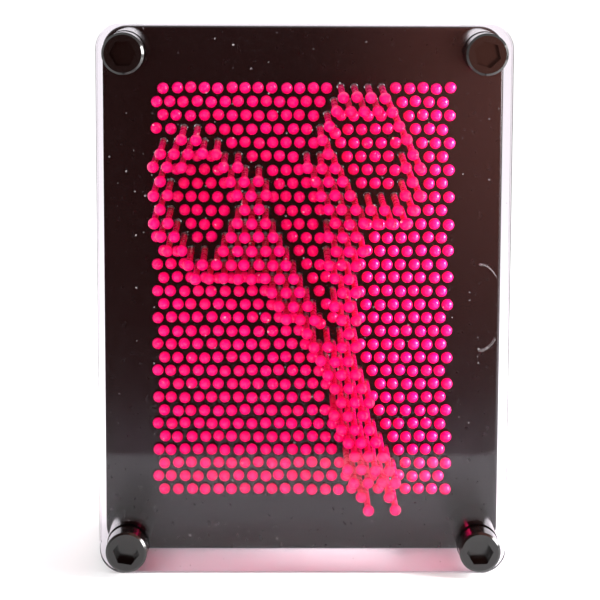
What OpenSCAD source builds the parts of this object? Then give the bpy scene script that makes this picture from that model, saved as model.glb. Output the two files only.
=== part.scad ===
// Pin art impression toy: a screen of loose pins between two moulded panels,
// behind a clear cover, carried by four corner posts. It stands on its lower edge.
// X runs to the viewer's right, the viewer looks along +Y, and Z is up.
// The origin is at the middle of the footprint, on the surface that it stands on.

/* [Cover and panels] */
// Width of the cover and of both panels
body_w = 150; // [125:1:190]
// Height of the clear cover
cover_h = 202; // [168:1:250]
// Thickness of the clear cover
cover_t = 3; // [2:0.5:5]
// How far the panels' top edge lies below the cover's
top_step = 2; // [0:0.5:6]
// Corner radius seen from the front
corner_r = 9; // [7:0.5:9.5]
// Depth of the front panel's shell
front_panel_d = 5; // [4.5:0.5:8]
// Depth of the rear panel's shell
rear_panel_d = 4; // [3.5:0.5:8]
// Wall of both shells, where the pins pass it
shell_wall = 2; // [1.5:0.1:2.5]
// Width of both shells' skirts, where they meet
skirt_w = 3.2; // [3.1:0.1:5]
// Rounding of the front panel's rim
front_rim_r = 1.5; // [0.5:0.1:2]
// Rounding of the rear panel's rim
rear_rim_r = 1.5; // [0.5:0.1:2.5]
// Rounding of the cover's edges
cover_rim_r = 0.5; // [0.2:0.1:0.9]

/* [Posts] */
// Distance of each post's axis from the cover's edges
post_inset = 10.3; // [9.5:0.1:14]
// Diameter of the cap screws' heads
cap_d = 15.1; // [12:0.1:18]
// Height of the cap screws' heads
cap_h = 10; // [8:0.5:14]
// Width across the flats of the hex socket
hex_af = 8.5; // [6:0.1:9]
// Depth of the hex socket
hex_depth = 7; // [5:0.5:7.5]
// Diameter of the cap screws' shanks
screw_d = 6; // [5:0.1:7]
// Length of the screw that sits in the rear leg
screw_grip = 18; // [12:1:24]
// Outer diameter of the front sleeves and the rear legs
sleeve_d = 15.6; // [13:0.1:18.5]
// Gap between the cover and the front panel
front_gap = 33; // [20:1:45]

/* [Pins] */
// Distance between pins in a row, and between rows
pitch = 5.1; // [5:0.05:6.5]
// Least distance from the panel's side edge to the outer pins
side_margin = 20; // [19:0.5:30]
// Least distance from the cover's ends to the outer rows
end_margin = 24.3; // [22:0.5:40]
// Diameter of a pin's shank
pin_d = 2.4; // [2:0.05:2.9]
// Diameter of a pin's round head
head_d = 4.4; // [3.8:0.05:4.5]
// Height of a pin's head above its shank
head_h = 3.4; // [2.6:0.1:4]
// Radial clearance of a pin in its hole
hole_play = 0.3; // [0.3:0.02:0.4]
// Slope of the pins, which hang in their holes with the head end low
pin_slope = 3.5; // [0:0.1:3.6]

/* [Impression] */
// Tells whether the pins hold the shape that was pressed in last
show_impression = true; // [true, false]
// Travel of the pins that the shape lifts only part of the way, as a share
part_lift = 0.38; // [0.2:0.02:0.6]

/* [Hidden] */
$fn = 48;
thread_play = 0.15;            // radial gap between a screw and its leg's bore
screw_play = 0.35;             // radial gap between a screw and the parts it passes
hole_d = pin_d + 2 * hole_play;
boss_wall = 2.4;               // wall of the panels' bosses around the screws
seat_gap = 0.3;                // least gap between a resting head and the panel
seat_scatter = 0.5;            // further gap that varies from pin to pin
stop_gap = 0.4;                // least gap between a head and the cover
stop_scatter = 0.5;            // further gap that varies from pin to pin
place_scatter = 0.08;          // sideways scatter of the pins in their holes
tail_guide = 2;                // shank left behind the rear panel at full travel
tail_room = 5.5;               // how far the legs reach past the resting tails
tail_chamfer = 0.4;
cap_chamfer = 0.8;
leg_chamfer = 1.5;
panel_h = cover_h - top_step;
guide_l = front_panel_d + rear_panel_d;
full_travel = front_gap - head_h - stop_gap;
pin_l = full_travel + guide_l + tail_guide;
leg_l = pin_l - guide_l + tail_room;

// Places along the depth, from the caps' faces to the legs' ends
total_d = cap_h + cover_t + front_gap + guide_l + leg_l;
cap_y = -total_d / 2;
cover_y = cap_y + cap_h;
sleeve_y = cover_y + cover_t;
panel_y = sleeve_y + front_gap;
seam_y = panel_y + front_panel_d;
leg_y = seam_y + rear_panel_d;
guide_y = panel_y + guide_l / 2;

// Pin grid: staggered rows, alternate rows shifted by half a pitch
cols = floor((body_w - 2 * side_margin) / pitch + 0.5);
rows = floor((cover_h - 2 * end_margin) / pitch) + 1;
bands = min(16, rows);
function row_shift(r) = r % 2 == 0 ? 0.25 : -0.25;
function pin_x(r, c) = (c - (cols - 1) / 2 + row_shift(r)) * pitch;
function pin_z(r) = ((rows - 1) / 2 - r) * pitch;
scatter = rands(-1, 1, rows * cols * 3, 42);
function scatter_of(r, c, k) = scatter[(r * cols + c) * 3 + k];

// The pressed shape is a pair of scissors, in millimetres about the grid's centre.
// An oval is [x, z, half width, half height, lean]; a bar tapers from
// [x, z, radius] at one end to [x, z, radius] at the other. The pin nearest each place
// in part_lifted is lifted only part of the way.
left_bow = [-35.5, 34.5, 19.5, 30, 26];
left_bow_hole = [-37.5, 35.5, 12, 17, 9];
left_web = [-22, 40, 10.5, -25, 26.5, 5];
left_shank = [-16.5, 21.5, 7, 39, -70.5, 2];
cross_bar = [-7, 6.5, 4.5, 41, -90, 2];
right_bow = [25, 53.5, 18, 28, 17.5];
right_bow_hole = [23.5, 55, 12, 17, 21];
right_web = [25, 67, 7, 11.5, 47, 11.5];
right_shank = [15, 32.5, 8.5, 16.5, -29, 2];
right_blade = [16.5, -28.5, 8, 25, -86, 2.5];
part_lifted = [[6.4, -10.2], [11.5, 61.2]];

function in_oval(x, z, o) =
    let (u = (x - o[0]) * cos(o[4]) + (z - o[1]) * sin(o[4]),
         v = (z - o[1]) * cos(o[4]) - (x - o[0]) * sin(o[4]))
    pow(u / o[2], 2) + pow(v / o[3], 2) <= 1;
function in_bar(x, z, b) =
    let (dx = b[3] - b[0],
         dz = b[4] - b[1],
         t = max(0, min(1, ((x - b[0]) * dx + (z - b[1]) * dz) / (dx * dx + dz * dz))))
    norm([x - b[0] - t * dx, z - b[1] - t * dz]) <= b[2] + t * (b[5] - b[2]);
function nearest(n, place) = max(0, min(n - 1, round(place)));
part_places = [for (s = part_lifted)
    let (r = nearest(rows, (rows - 1) / 2 - s[1] / pitch))
    [r, nearest(cols, (cols - 1) / 2 + s[0] / pitch - row_shift(r))]];
function in_left(x, z) = !in_oval(x, z, left_bow_hole)
    && (in_oval(x, z, left_bow) || in_bar(x, z, left_web));
function in_right(x, z) = !in_oval(x, z, right_bow_hole)
    && (in_oval(x, z, right_bow) || in_bar(x, z, right_web));
function in_bars(x, z) = in_bar(x, z, left_shank) || in_bar(x, z, cross_bar)
    || in_bar(x, z, right_shank) || in_bar(x, z, right_blade);

// Names of the lifted groups, and the group that a place belongs to
LIFTED = ["left_bow", "left_web", "left_shank", "right_bow", "right_web", "right_shank",
          "left_blade", "right_blade", "part_lifted"];
handle_z = -18;                // the blades start below this height
handle_x = 6;                  // the left handle lies to the left of this
function blade_split(z) = 13 - 0.28 * (z + 20);
function group_at(x, z) =
    z < handle_z ? (x < blade_split(z) ? 6 : 7)
    : x < handle_x ? (z < 7.5 ? 2 : x > -34 && z < 48 ? 1 : 0)
    : z < 23 ? 5 : x < 18 && z < 54 ? 4 : 3;
function group_of(r, c) =
    let (x = pin_x(r, c), z = pin_z(r))
    !show_impression ? -1
    : len([for (p = part_places) if (p == [r, c]) p]) > 0 ? 8
    : in_left(x, z) || in_right(x, z) || in_bars(x, z) ? group_at(x, z)
    : -1;
grid_group = [for (r = [0 : rows - 1]) [for (c = [0 : cols - 1]) group_of(r, c)]];

// Corner posts, as [name, side, end, turn of the hex socket]
POSTS = [["top_left", -1, 1, 0], ["top_right", 1, 1, -17],
         ["bottom_left", -1, -1, -9], ["bottom_right", 1, -1, 2]];
function post_x(p) = p[1] * (body_w / 2 - post_inset);
function post_z(p) = cover_h / 2 + p[2] * (cover_h / 2 - post_inset);

function two_digits(k) = str(k < 10 ? "0" : "", k);
function band_name(k) = str("field_pins_", two_digits(k));
function lifted_name(k) = str(LIFTED[k], "_pins");

// Outline of a panel, its lower edge on the X axis, drawn smaller by inset
module outline(h, inset) {
    r = corner_r - inset;
    w = body_w - 2 * inset;
    translate([-w / 2, inset]) union() {
        translate([r, 0]) square([w - 2 * r, h - 2 * inset]);
        translate([0, r]) square([w, h - 2 * inset - 2 * r]);
        for (x = [r, w - r], z = [r, h - 2 * inset - r]) translate([x, z]) circle(r);
    }
}

// Turns a flat shape, drawn upright, to face the viewer, with its front at depth y
module facing(y) {
    translate([0, y, 0]) rotate([90, 0, 0]) children();
}

// One rounded rim of a plate: a bar along each side and a torus piece in each corner
module rim(h, r) {
    span_x = body_w - 2 * corner_r;
    span_z = h - 2 * corner_r;
    for (z = [r, h - r]) translate([0, z, 0]) rotate([0, 90, 0]) cylinder(r = r, h = span_x, center = true);
    for (s = [-1, 1]) {
        translate([s * (body_w / 2 - r), corner_r, 0]) rotate([-90, 0, 0]) cylinder(r = r, h = span_z);
        for (z = [corner_r, h - corner_r]) translate([s * span_x / 2, z, 0]) rotate_extrude()
            intersection() {
                translate([corner_r - r, 0]) circle(r);
                translate([0, -r]) square([corner_r, 2 * r]);
            }
    }
}

// Plate with its front edge rounded by r0 and its back edge by r1, front face at z = 0
module soft_plate(h, t, r0, r1) {
    union() {
        translate([0, 0, -t]) linear_extrude(t) outline(h, max(r0, r1));
        translate([0, 0, r1 - t]) linear_extrude(t - r0 - r1) outline(h, 0);
        if (r0 > 0) translate([0, 0, -r0]) rim(h, r0);
        if (r1 > 0) translate([0, 0, r1 - t]) rim(h, r1);
    }
}

module screw_holes(t, d) {
    for (p = POSTS) translate([post_x(p), post_z(p), -t - 1]) cylinder(d = d, h = t + 2);
}

// Holes through a shell, at the height at which the sloping pins pass its wall
module pin_holes(t, wall_y) {
    rise = tan(pin_slope) * (wall_y - guide_y);
    for (r = [0 : rows - 1], c = [0 : cols - 1])
        translate([pin_x(r, c), cover_h / 2 + pin_z(r) + rise, -t - 1])
            cylinder(d = hole_d, h = t + 2, $fn = 24);
}

// The hollow between the two shells, around the four bosses
module shell_hollow() {
    difference() {
        outline(panel_h, skirt_w);
        for (p = POSTS) translate([post_x(p), post_z(p)]) circle(d = screw_d + 2 * screw_play + 2 * boss_wall);
    }
}

module front_cover() {
    color([0.93, 0.95, 0.96, 0.25]) facing(cover_y) difference() {
        soft_plate(cover_h, cover_t, cover_rim_r, cover_rim_r);
        screw_holes(cover_t, screw_d + 2 * screw_play);
    }
}

module front_pin_panel() {
    color([0.06, 0.05, 0.05]) facing(panel_y) difference() {
        soft_plate(panel_h, front_panel_d, front_rim_r, 0);
        translate([0, 0, -front_panel_d - 1]) linear_extrude(front_panel_d - shell_wall + 1) shell_hollow();
        screw_holes(front_panel_d, screw_d + 2 * screw_play);
        pin_holes(front_panel_d, panel_y + shell_wall / 2);
    }
}

module rear_pin_panel() {
    color([0.06, 0.05, 0.05]) facing(seam_y) difference() {
        soft_plate(panel_h, rear_panel_d, 0, rear_rim_r);
        translate([0, 0, shell_wall - rear_panel_d]) linear_extrude(rear_panel_d) shell_hollow();
        screw_holes(rear_panel_d, screw_d + 2 * screw_play);
        pin_holes(rear_panel_d, leg_y - shell_wall / 2);
    }
}

// Cap screw: a round head with a chamfered rim and a blind hex socket, and a plain shank
module cap_screw(p) {
    shank_l = cover_t + front_gap + guide_l + screw_grip;
    color([0.05, 0.04, 0.04]) translate([post_x(p), 0, post_z(p)]) facing(cap_y) difference() {
        rotate_extrude() polygon([[0, 0], [cap_d / 2 - cap_chamfer, 0], [cap_d / 2, -cap_chamfer],
                                  [cap_d / 2, -cap_h], [screw_d / 2, -cap_h],
                                  [screw_d / 2, -cap_h - shank_l], [0, -cap_h - shank_l]]);
        translate([0, 0, -hex_depth]) rotate(p[3]) cylinder(d = hex_af / cos(30), h = hex_depth + 1, $fn = 6);
    }
}

module front_sleeve(p) {
    color([0.07, 0.06, 0.06]) translate([post_x(p), 0, post_z(p)]) facing(sleeve_y) difference() {
        translate([0, 0, -front_gap]) cylinder(d = sleeve_d, h = front_gap);
        translate([0, 0, -front_gap - 1]) cylinder(d = screw_d + 2 * screw_play, h = front_gap + 2);
    }
}

// Rear leg: a blind bore takes the screw, and the free end is chamfered
module rear_leg(p) {
    bore_r = screw_d / 2 + thread_play;
    bore_l = screw_grip + 2;
    color([0.07, 0.06, 0.06]) translate([post_x(p), 0, post_z(p)]) facing(leg_y) rotate_extrude()
        polygon([[bore_r, 0], [sleeve_d / 2, 0], [sleeve_d / 2, leg_chamfer - leg_l],
                 [sleeve_d / 2 - leg_chamfer, -leg_l], [0, -leg_l], [0, -bore_l], [bore_r, -bore_l]]);
}

// One pin along +Z, its round head standing on z = 0 and its shank below
module pin() {
    ball_z = head_h - head_d / 2;
    rotate_extrude($fn = 32) union() {
        polygon([[0, ball_z], [pin_d / 2, ball_z], [pin_d / 2, tail_chamfer - pin_l],
                 [pin_d / 2 - tail_chamfer, -pin_l], [0, -pin_l]]);
        intersection() {
            translate([0, ball_z]) circle(d = head_d, $fn = 32);
            square([head_d, head_h + 1]);
        }
    }
}

// Puts a pin in its hole, with its head lifted off the front panel by lift
module placed_pin(r, c, lift) {
    dx = place_scatter * scatter_of(r, c, 0);
    dz = place_scatter * scatter_of(r, c, 1);
    translate([pin_x(r, c) + dx, guide_y, cover_h / 2 + pin_z(r) + dz])
        rotate([90 + pin_slope, 0, 0]) translate([0, 0, guide_l / 2 + lift]) pin();
}

// Resting pins of one band of rows
module field_pins(k) {
    first = floor((k - 1) * rows / bands);
    last = floor(k * rows / bands) - 1;
    color([0.95, 0.02, 0.42]) for (r = [first : last], c = [0 : cols - 1]) if (grid_group[r][c] < 0)
        placed_pin(r, c, seat_gap + seat_scatter * (0.5 + 0.5 * scatter_of(r, c, 2)));
}

// Pins of one part of the pressed shape
module lifted_pins(k) {
    share = LIFTED[k] == "part_lifted" ? part_lift : 1;
    color([0.98, 0.03, 0.45]) for (r = [0 : rows - 1], c = [0 : cols - 1]) if (grid_group[r][c] == k)
        placed_pin(r, c, share * (full_travel - stop_scatter * (0.5 + 0.5 * scatter_of(r, c, 2))));
}

front_cover();
front_pin_panel();
rear_pin_panel();
for (p = POSTS) cap_screw(p);
for (p = POSTS) front_sleeve(p);
for (p = POSTS) rear_leg(p);
for (k = [1 : bands]) field_pins(k);
for (k = [0 : len(LIFTED) - 1]) lifted_pins(k);
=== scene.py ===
import math
import bpy
import bmesh
import numpy as np
from mathutils import Matrix, Vector


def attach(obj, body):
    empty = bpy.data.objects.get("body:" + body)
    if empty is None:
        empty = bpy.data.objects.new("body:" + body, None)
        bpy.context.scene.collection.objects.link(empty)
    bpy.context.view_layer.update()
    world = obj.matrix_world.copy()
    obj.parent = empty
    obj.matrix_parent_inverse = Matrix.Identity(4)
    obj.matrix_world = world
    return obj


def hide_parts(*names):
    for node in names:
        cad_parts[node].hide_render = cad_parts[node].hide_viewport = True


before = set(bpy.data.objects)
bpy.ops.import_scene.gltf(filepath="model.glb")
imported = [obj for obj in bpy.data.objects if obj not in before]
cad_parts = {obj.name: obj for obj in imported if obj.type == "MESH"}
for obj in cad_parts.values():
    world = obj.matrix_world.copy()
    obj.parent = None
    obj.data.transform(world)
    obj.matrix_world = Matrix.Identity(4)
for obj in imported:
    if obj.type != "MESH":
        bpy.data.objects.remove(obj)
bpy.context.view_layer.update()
scene = bpy.context.scene
print("frame loaded:", len(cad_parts), "nodes")


def fromMm(*values):  # millimetres to metres
    return tuple(value / 1000 for value in values)


def hexColour(text):  # an sRGB hex value as linear red, green, blue and alpha
    channels = [int(text[i:i + 2], 16) / 255 for i in (1, 3, 5)]
    return tuple(c / 12.92 if c <= 0.04045 else ((c + 0.055) / 1.055) ** 2.4 for c in channels) + (1.0,)


# Camera: a long lens, a little above the toy and looking slightly down

cameraView = {
    "place": fromMm(-12.9, -898.7, 231.0),
    "lens": 143.93,    # in mm, on a sensor 36 mm wide
    "sensor": 36,
    "down": 0.14816,   # in radians, as are the next two
    "turn": 0.01329,   # towards the right
    "roll": 0.00348,
}


def makeCamera(view):
    # The camera looks ahead along its own -Z. Its right is level, rolled by a small angle towards its upright,
    # and its up is square to both.
    data = bpy.data.cameras.new("camera")
    data.lens = view["lens"]
    data.sensor_width = view["sensor"]
    data.clip_end = 50
    camera = bpy.data.objects.new("camera", data)
    scene.collection.objects.link(camera)
    down, turn, roll = view["down"], view["turn"], view["roll"]
    ahead = np.array([math.sin(turn) * math.cos(down), math.cos(turn) * math.cos(down), -math.sin(down)])
    level = np.array([math.cos(turn), -math.sin(turn), 0])
    upright = np.cross(level, ahead)
    right = level * math.cos(roll) + upright * math.sin(roll)
    axes = np.eye(4)
    axes[:3, 0] = right
    axes[:3, 1] = np.cross(right, ahead)
    axes[:3, 2] = -ahead
    axes[:3, 3] = view["place"]
    camera.matrix_world = Matrix(axes.tolist())
    scene.camera = camera


makeCamera(cameraView)
print("camera ready")


# Helpers

def addNode(tree, kind, inputs=None, links=None, **settings):  # one node with its settings, values and links
    node = tree.nodes.new(kind)
    for name, value in settings.items():
        setattr(node, name, value)
    for name, value in (inputs or {}).items():
        node.inputs[name].default_value = value
    for name, source in (links or {}).items():
        tree.links.new(source, node.inputs[name])
    return node


def newMaterial(name):
    material = bpy.data.materials.new(name)
    material.use_nodes = True
    material.node_tree.nodes.clear()
    return material, material.node_tree


def meshObject(name, points, faces, material):
    mesh = bpy.data.meshes.new(name)
    mesh.from_pydata(np.asarray(points).tolist(), [], np.asarray(faces).tolist())
    mesh.polygons.foreach_set("use_smooth", np.ones(len(mesh.polygons), bool))
    mesh.materials.append(material)
    mesh.update()
    piece = bpy.data.objects.new(name, mesh)
    scene.collection.objects.link(piece)
    return piece


# Studio: white paper floor, a soft light on the right, and a flag: a glowing sheet that only reflections see,
# whose colour paints the reflections in the cover, panels and posts

studio = {
    "floor": "#f6f5f6",
    "floorReach": 6.0,
    "worldColour": "#ffffff",
    "worldStrength": 1.55,              # above and behind the toy
    "worldFront": 0.4,                  # behind the camera, where the room is dimmer
    "worldTurn": (-0.5, 0.1),           # the directions' Y between which one changes to the other
    "keyPlace": (0.66, -0.2, 0.28),     # on the near side of the flag, so that the flag doesn't hide it
    "keySize": 0.34,
    "keyPower": 15.0,
    "fillPlace": (-0.2, -1.4, 0.3),
    "fillSize": 1.1,
    "fillPower": 30.0,
    "flagFront": -0.241,                # where the paper's bright part ends, as the cover mirrors it
    "flagSize": (1.5, 1.2),             # half its width, and its height
    # the flag's glow, a painted reflection of a dim room, seen only in the glossy parts
    "flagColour": (0.24, 0.065, 0.05),
    "flagWarm": (1.5, 0.55, 0.42),      # painted reflection, brighter and warmer towards the upper right; no wall is there
    "warmAcross": 0.095,                # it warms fully over this distance to the right
    "warmUp": 0.17,                     # and over this height
}


def areaLight(name, place, size, power):
    toy = Vector(fromMm(0, 0, 100))
    data = bpy.data.lights.new(name, "AREA")
    data.shape = "SQUARE"
    data.size = size
    data.energy = power
    light = bpy.data.objects.new(name, data)
    scene.collection.objects.link(light)
    light.location = place
    light.rotation_euler = (toy - Vector(place)).to_track_quat("-Z", "Y").to_euler()
    return light


def makeWorld(studio):
    world = bpy.data.worlds.new("world")
    scene.world = world
    world.use_nodes = True
    tree = world.node_tree
    tree.nodes.clear()
    place = addNode(tree, "ShaderNodeTexCoord")
    along = addNode(tree, "ShaderNodeSeparateXYZ", links={"Vector": place.outputs["Generated"]})
    start, end = studio["worldTurn"]
    strength = addNode(
        tree, "ShaderNodeMapRange",
        {"From Min": start, "From Max": end, "To Min": studio["worldFront"], "To Max": studio["worldStrength"]},
        {"Value": along.outputs["Y"]}, interpolation_type="SMOOTHSTEP")
    light = addNode(
        tree, "ShaderNodeBackground",
        {"Color": hexColour(studio["worldColour"])}, {"Strength": strength.outputs[0]})
    addNode(tree, "ShaderNodeOutputWorld", links={"Surface": light.outputs[0]})


def whitePaper():  # uncoated white paper: matte, with a grain too fine to show from here
    paper, tree = newMaterial("white paper sweep")
    shader = addNode(
        tree, "ShaderNodeBsdfPrincipled",
        {"Base Color": hexColour(studio["floor"]), "Roughness": 0.9, "Specular IOR Level": 0.2})
    addNode(tree, "ShaderNodeOutputMaterial", links={"Surface": shader.outputs[0]})
    return paper


def paintedReflectionSheet():  # painted reflection: a glowing sheet, dim reddish brown, turning brighter and warmer smoothly to the right and upwards
    dark, tree = newMaterial("dark studio flag")
    place = addNode(tree, "ShaderNodeTexCoord")
    along = addNode(tree, "ShaderNodeSeparateXYZ", links={"Vector": place.outputs["Object"]})
    across = addNode(
        tree, "ShaderNodeMapRange", {"From Min": 0.0, "From Max": studio["warmAcross"]},
        {"Value": along.outputs["X"]}, interpolation_type="SMOOTHSTEP")
    upward = addNode(
        tree, "ShaderNodeMapRange", {"From Min": 0.0, "From Max": studio["warmUp"], "To Min": 0.12},
        {"Value": along.outputs["Z"]}, interpolation_type="SMOOTHSTEP")
    warmth = addNode(
        tree, "ShaderNodeMath", {}, {0: across.outputs[0], 1: upward.outputs[0]}, operation="MULTIPLY")
    tint = addNode(
        tree, "ShaderNodeMix", {"A": studio["flagColour"] + (1,), "B": studio["flagWarm"] + (1,)},
        {"Factor": warmth.outputs[0]}, data_type="RGBA")
    # the sheet glows though it is no lamp: this glow is the painted reflection in the cover, panels and posts
    glow = addNode(tree, "ShaderNodeEmission", {"Strength": 1.0}, {"Color": tint.outputs["Result"]})
    addNode(tree, "ShaderNodeOutputMaterial", links={"Surface": glow.outputs[0]})
    return dark


def makeStudio(studio):
    makeWorld(studio)
    reach = studio["floorReach"]
    corners = [(-reach, -reach, 0), (reach, -reach, 0), (reach, reach, 0), (-reach, reach, 0)]
    floor = meshObject("floor", corners, [(0, 1, 2, 3)], whitePaper())

    y = studio["flagFront"]
    side, top = studio["flagSize"]
    corners = [(-side, y, 0), (side, y, 0), (side, y, top), (-side, y, top)]
    # only glossy rays see the flag, so it blocks no light and only paints reflections
    flag = meshObject("flag", corners, [(0, 1, 2, 3)], paintedReflectionSheet())
    flag.visible_camera = False
    flag.visible_diffuse = False
    flag.visible_shadow = False
    flag.visible_transmission = False

    areaLight("keyLight", studio["keyPlace"], studio["keySize"], studio["keyPower"])
    fill = areaLight("fillLight", studio["fillPlace"], studio["fillSize"], studio["fillPower"])
    fill.visible_glossy = False


makeStudio(studio)
scene.view_settings.view_transform = "Standard"
print("studio ready")


# Black panels and posts

panelFinish = {
    "colour": "#080606",
    "peel": 2.86,            # mm across one patch of orange peel
    "peelDepth": 0.2,        # mm
    "peelShows": 0.03,
    "rough": (0.2, 0.28),
    "ior": 1.4,
}

postFinish = {
    "colour": "#060505",
    "grain": 1.11,           # mm across one patch of rubbed marks, coarser than real ones so that they show
    "grainDepth": 0.1,       # mm
    "grainShows": 0.04,
    "rough": (0.12, 0.22),
    "ior": 1.48,
}

noiseSpan = (0.3, 0.7)       # most of a noise texture's values lie in this span


def roughFrom(tree, source, span):  # a noise's usual span becomes a span of roughness
    low, high = noiseSpan
    return addNode(
        tree, "ShaderNodeMapRange",
        {"From Min": low, "From Max": high, "To Min": span[0], "To Max": span[1]}, {"Value": source})


def blackPanel(finish):  # injection-moulded black styrene: semi-gloss, with a faint orange peel
    material, tree = newMaterial("moulded black styrene")
    place = addNode(tree, "ShaderNodeTexCoord")
    peel = addNode(
        tree, "ShaderNodeTexNoise", {"Scale": 1000 / finish["peel"], "Detail": 2.0},
        {"Vector": place.outputs["Object"]})
    bump = addNode(
        tree, "ShaderNodeBump", {"Strength": finish["peelShows"], "Distance": finish["peelDepth"] / 1000},
        {"Height": peel.outputs["Fac"]})
    rough = roughFrom(tree, peel.outputs["Fac"], finish["rough"])
    shader = addNode(
        tree, "ShaderNodeBsdfPrincipled", {"Base Color": hexColour(finish["colour"]), "IOR": finish["ior"]},
        {"Roughness": rough.outputs[0], "Normal": bump.outputs[0]})
    addNode(tree, "ShaderNodeOutputMaterial", links={"Surface": shader.outputs[0]})
    return material


def blackPost(finish):  # turned black acetal: satin, with fine rubbed marks
    material, tree = newMaterial("satin black acetal")
    place = addNode(tree, "ShaderNodeTexCoord")
    grain = addNode(
        tree, "ShaderNodeTexNoise", {"Scale": 1000 / finish["grain"], "Detail": 3.0},
        {"Vector": place.outputs["Object"]})
    bump = addNode(
        tree, "ShaderNodeBump", {"Strength": finish["grainShows"], "Distance": finish["grainDepth"] / 1000},
        {"Height": grain.outputs["Fac"]})
    rough = roughFrom(tree, grain.outputs["Fac"], finish["rough"])
    shader = addNode(
        tree, "ShaderNodeBsdfPrincipled", {"Base Color": hexColour(finish["colour"]), "IOR": finish["ior"]},
        {"Roughness": rough.outputs[0], "Normal": bump.outputs[0]})
    addNode(tree, "ShaderNodeOutputMaterial", links={"Surface": shader.outputs[0]})
    return material


# Clear cover

coverFinish = {
    "tint": "#faf7fb",
    "rough": 0.02,
    "mirrorIor": 1.25,                    # below acrylic's 1.49, which mirrors this white studio too strongly
    "dust": "#d8cfd0",
    "dustEvery": 3.2,                     # mm between possible dust specks
    "dustClean": 0.62,                    # share of the places that stay clean
    "dustSize": 0.13,                     # the largest speck, as a share of the distance between places
    "marksShow": 0.22,
    "scratchCentre": fromMm(64.5, 0, 99.3),
    "scratchAcross": 7.9,                 # mm, half width of the oval that the scratch is a part of
    "scratchUp": 15.8,                    # mm, half height of the same oval
    "scratchWidth": 0.018,                # as a share of the oval, and wider than a real one, so that it shows
    "scratchEnds": 0.72,                  # it shows only above and below this share of the oval's height
    "scratchRight": -0.1,                 # and to the right of this share of its width
    "scratchFaint": 0.45,                 # against a speck of dust
}


def dustMask(tree, place, finish):  # a round speck at the middle of some cells, each of its own size
    cells = addNode(tree, "ShaderNodeTexVoronoi", {"Scale": 1000 / finish["dustEvery"]}, {"Vector": place})
    chance = addNode(tree, "ShaderNodeSeparateColor", links={0: cells.outputs["Color"]})
    size = addNode(
        tree, "ShaderNodeMapRange",
        {"From Min": finish["dustClean"], "From Max": 1.0, "To Min": 0.0, "To Max": finish["dustSize"]},
        {"Value": chance.outputs[0]})
    return addNode(
        tree, "ShaderNodeMath", {}, {0: cells.outputs["Distance"], 1: size.outputs[0]}, operation="LESS_THAN")


def scratchMask(tree, place, finish):  # the upper and lower right ends of a thin oval line
    scale = (1000 / finish["scratchAcross"], 0, 1000 / finish["scratchUp"])
    away = addNode(
        tree, "ShaderNodeVectorMath", {1: finish["scratchCentre"]}, {0: place}, operation="SUBTRACT")
    flat = addNode(tree, "ShaderNodeVectorMath", {1: scale}, {0: away.outputs[0]}, operation="MULTIPLY")
    reach = addNode(tree, "ShaderNodeVectorMath", {}, {0: flat.outputs[0]}, operation="LENGTH")
    line = addNode(
        tree, "ShaderNodeMath", {1: 1.0, 2: finish["scratchWidth"]}, {0: reach.outputs["Value"]},
        operation="COMPARE")
    part = addNode(tree, "ShaderNodeSeparateXYZ", links={"Vector": flat.outputs[0]})
    height = addNode(tree, "ShaderNodeMath", {}, {0: part.outputs["Z"]}, operation="ABSOLUTE")
    ends = addNode(
        tree, "ShaderNodeMath", {1: finish["scratchEnds"]}, {0: height.outputs[0]}, operation="GREATER_THAN")
    right = addNode(
        tree, "ShaderNodeMath", {1: finish["scratchRight"]}, {0: part.outputs["X"]}, operation="GREATER_THAN")
    mask = addNode(tree, "ShaderNodeMath", {}, {0: line.outputs[0], 1: ends.outputs[0]}, operation="MULTIPLY")
    mask = addNode(tree, "ShaderNodeMath", {}, {0: mask.outputs[0], 1: right.outputs[0]}, operation="MULTIPLY")
    return addNode(
        tree, "ShaderNodeMath", {1: finish["scratchFaint"]}, {0: mask.outputs[0]}, operation="MULTIPLY")


def clearAcrylic(finish):
    # Cast clear acrylic, polished: see-through, mirrors by Fresnel, with dust specks and one fine scratch
    material, tree = newMaterial("polished clear acrylic")
    place = addNode(tree, "ShaderNodeTexCoord").outputs["Object"]
    speck = dustMask(tree, place, finish)
    scratch = scratchMask(tree, place, finish)
    marks = addNode(
        tree, "ShaderNodeMath", {}, {0: scratch.outputs[0], 1: speck.outputs[0]}, operation="MAXIMUM")
    marks = addNode(
        tree, "ShaderNodeMath", {1: finish["marksShow"]}, {0: marks.outputs[0]}, operation="MULTIPLY")
    clear = addNode(tree, "ShaderNodeBsdfTransparent", {"Color": hexColour(finish["tint"])})
    gloss = addNode(tree, "ShaderNodeBsdfGlossy", {"Color": (1, 1, 1, 1), "Roughness": finish["rough"]})
    mirror = addNode(tree, "ShaderNodeFresnel", {"IOR": finish["mirrorIor"]})
    polished = addNode(
        tree, "ShaderNodeMixShader", {}, {0: mirror.outputs[0], 1: clear.outputs[0], 2: gloss.outputs[0]})
    grey = addNode(tree, "ShaderNodeBsdfDiffuse", {"Color": hexColour(finish["dust"])})
    worn = addNode(
        tree, "ShaderNodeMixShader", {}, {0: marks.outputs[0], 1: polished.outputs[0], 2: grey.outputs[0]})
    addNode(tree, "ShaderNodeOutputMaterial", links={"Surface": worn.outputs[0]})
    return material


# Pink pins

pinFinish = {
    "colour": "#ff0070",
    "deep": "#f60062",
    "cloud": 3.33,           # mm across one patch of rougher or smoother skin
    "rough": (0.24, 0.32),
    "ior": 1.49,
}


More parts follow.
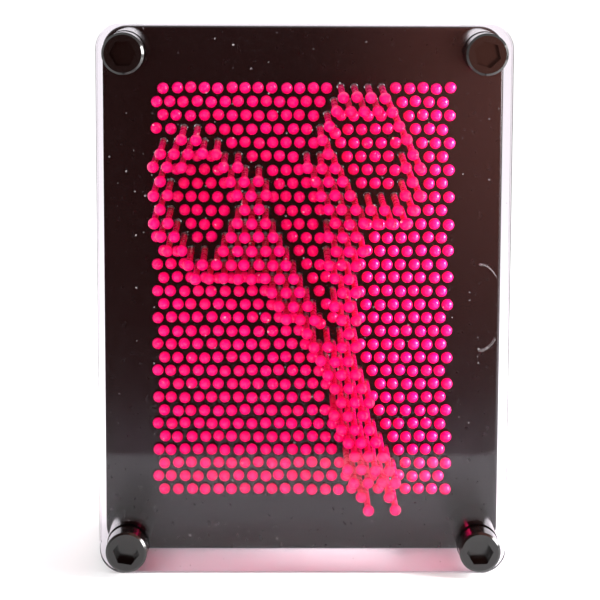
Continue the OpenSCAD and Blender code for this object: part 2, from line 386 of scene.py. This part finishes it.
def pinkPin(finish):
    # Injection-moulded hot pink polypropylene: glossy, each pin a little deeper or lighter than the next
    material, tree = newMaterial("moulded hot pink polypropylene")
    place = addNode(tree, "ShaderNodeTexCoord")
    shade = addNode(tree, "ShaderNodeAttribute", attribute_name="pinShade")
    cloud = addNode(
        tree, "ShaderNodeTexNoise", {"Scale": 1000 / finish["cloud"], "Detail": 1.0},
        {"Vector": place.outputs["Object"]})
    colour = addNode(
        tree, "ShaderNodeMix", {"A": hexColour(finish["colour"]), "B": hexColour(finish["deep"])},
        {"Factor": shade.outputs["Fac"]}, data_type="RGBA")
    rough = roughFrom(tree, cloud.outputs["Fac"], finish["rough"])
    shader = addNode(
        tree, "ShaderNodeBsdfPrincipled", {"IOR": finish["ior"]},
        {"Base Color": colour.outputs["Result"], "Roughness": rough.outputs[0]})
    addNode(tree, "ShaderNodeOutputMaterial", links={"Surface": shader.outputs[0]})
    return material


def dress(node, material):
    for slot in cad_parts[node].material_slots:
        slot.material = material


panelPlastic = blackPanel(panelFinish)
postPlastic = blackPost(postFinish)
pinPlastic = pinkPin(pinFinish)
acrylic = clearAcrylic(coverFinish)
pinNodes = sorted(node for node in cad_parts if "pins" in node)
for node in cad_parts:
    if node.endswith("panel"):
        dress(node, panelPlastic)
    elif node in pinNodes:
        dress(node, pinPlastic)
    elif node == "front_cover":
        dress(node, acrylic)
    else:
        dress(node, postPlastic)
print("materials on the frame")


# Pins: one shape, turned about each pin's own axis, which is found from the frame's pins

pin = {
    "slope": 3.5,          # in degrees, head end low
    "pitch": 5.1,          # in mm, as are the sizes below
    "gridTop": 177.5,      # height of the top row where it passes the guide
    "guideY": 4.65,        # middle of the two panels, which guide the pins
    "shankRadius": 1.2,
    "headRadius": 2.2,
    "headHeight": 3.4,
    "neckFillet": 0.25,
    "tailChamfer": 0.4,
    "headWander": 0.27,    # the most that a head sits off its hole's axis, because the holes are loose
    "neckLength": 1.0,     # behind the head, where the shank comes back to the axis
    "sides": 14,
    "headRings": 6,
    "sharpOver": 50,       # in degrees
}


def pinPlaces(node):
    # Every vertex belongs to the pin whose axis is nearest. Seen along the axes the pins form a staggered grid,
    # so a rounded place in it numbers the pin. A pin's axis is midway between its outermost vertices, and its
    # tail and head ends are its least and greatest distance along the axis.
    tilt = math.radians(pin["slope"])
    ahead = np.array([0, -math.cos(tilt), -math.sin(tilt)])
    across = np.array([0, -math.sin(tilt), math.cos(tilt)])
    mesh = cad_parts[node].data
    points = np.empty(len(mesh.vertices) * 3)
    mesh.vertices.foreach_get("co", points)
    points = points.reshape(-1, 3) * 1000
    side, height, along = points[:, 0], points @ across, points @ ahead
    atGuide = (height + pin["guideY"] * math.sin(tilt)) / math.cos(tilt)
    row = np.round((pin["gridTop"] - atGuide) / pin["pitch"])
    column = np.round(side / pin["pitch"] + np.where(row % 2 == 0, -0.25, 0.25) + 0.5)
    keys, which = np.unique(row * 100 + column, return_inverse=True)
    low = np.full((3, len(keys)), np.inf)
    high = -low
    for i, values in enumerate((side, height, along)):
        np.minimum.at(low[i], which, values)
        np.maximum.at(high[i], which, values)
    middle = (low + high) / 2
    crowns = np.outer(middle[0], (1, 0, 0)) + np.outer(middle[1], across) + np.outer(high[2], ahead)
    return crowns, float((high[2] - low[2]).mean()), ahead, across


def pinProfile(length):
    # From the head's crown to the tail: distance behind the crown, radius, and how much the head's wander moves
    # the ring, which falls evenly from 1 at the head's underside to 0 at the neck's end, so that the shank runs
    # true in its hole
    ball, height, shank, neck = pin["headRadius"], pin["headHeight"], pin["shankRadius"], pin["neckFillet"]
    chamfer, neckEnd = pin["tailChamfer"], height + pin["neckLength"]
    angle = np.linspace(0, math.acos((ball - height) / ball), pin["headRings"] + 1)
    headBack, headRadius = ball * (1 - np.cos(angle)), ball * np.sin(angle)
    back = np.concatenate([headBack, [height, height + neck, neckEnd, length - chamfer, length, length]])
    radius = np.concatenate([headRadius, [shank + neck, shank, shank, shank, shank - chamfer, 0]])
    return back, radius, np.interp(back, (height, neckEnd), (1, 0))


def makePins(node, random):
    # A point is the crown's place, plus its distance back along the axis, plus its radius round the axis
    crowns, length, ahead, across = pinPlaces(node)
    back, radius, wander = pinProfile(length)
    count, rings, sides = len(crowns), len(back), pin["sides"]
    turn = np.arange(sides) * 2 * math.pi / sides
    around = np.outer(np.cos(turn), (1, 0, 0)) + np.outer(np.sin(turn), across)
    far = pin["headWander"] * np.sqrt(random.uniform(0, 1, count))
    way = random.uniform(0, 2 * math.pi, count)
    shift = np.outer(far * np.cos(way), (1, 0, 0)) + np.outer(far * np.sin(way), across)
    shape = radius[:, None, None] * around - back[:, None, None] * ahead
    wandered = shift[:, None, None, :] * wander[None, :, None, None]
    points = (crowns[:, None, None, :] + shape[None] + wandered).reshape(-1, 3) / 1000
    ring = np.arange(rings - 1)[:, None] * sides
    here = np.arange(sides)[None, :]
    there = (here + 1) % sides
    quads = np.stack([ring + here, ring + sides + here, ring + sides + there, ring + there], -1).reshape(-1, 4)
    quads = (quads[None] + np.arange(count)[:, None, None] * rings * sides).reshape(-1, 4)
    words = node.split("_")
    name = words[0] + "".join(word.capitalize() for word in words[1:])
    piece = meshObject(name, points, quads, pinPlastic)
    shades = np.repeat(random.uniform(0, 1, count), rings * sides)
    piece.data.attributes.new("pinShade", "FLOAT", "POINT").data.foreach_set("value", shades)
    tidy = bmesh.new()
    tidy.from_mesh(piece.data)
    bmesh.ops.remove_doubles(tidy, verts=tidy.verts, dist=1e-6)   # closes the crown and the tail
    bmesh.ops.recalc_face_normals(tidy, faces=tidy.faces)
    tidy.to_mesh(piece.data)
    tidy.free()
    piece.data.set_sharp_from_angle(angle=math.radians(pin["sharpOver"]))
    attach(piece, node)
    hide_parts(node)
    return count


random = np.random.default_rng(7)
made = sum(makePins(node, random) for node in pinNodes)
print("pins made:", made)
